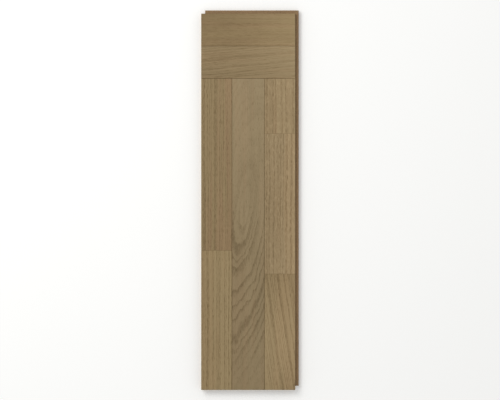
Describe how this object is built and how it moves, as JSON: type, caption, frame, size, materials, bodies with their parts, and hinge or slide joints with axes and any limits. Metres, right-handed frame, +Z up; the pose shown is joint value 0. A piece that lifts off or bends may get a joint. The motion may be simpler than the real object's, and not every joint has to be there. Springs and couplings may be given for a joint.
{
  "type": "parquet block",
  "caption": "Flat tongue-and-groove parquet block: oak strips in long rows, closed at one end by strips laid across, on a fibreboard core with a veneer back, for laying as a floor.",
  "frame": {"origin": "middle of the block's face, on the underside", "axes": "+X across the block towards its long tongue, +Y along the block towards its cross strips, +Z up through the face that is walked on"},
  "size_m": [0.1505, 0.5855, 0.014],
  "materials": {
    "oak": "smoked oak with a matt oil",
    "fibreboard": "dense fibreboard, milled and raw",
    "spruce": "peeled spruce veneer, raw"
  },
  "bodies": {
    "root": {"outer_cross_strip": "oak", "inner_cross_strip": "oak", "left_row_strip_1": "oak", "left_row_strip_2": "oak", "middle_row_strip": "oak", "right_row_strip_1": "oak", "right_row_strip_2": "oak", "right_row_strip_3": "oak", "core_board": "fibreboard", "backing_veneer": "spruce"}
  },
  "joints": []
}
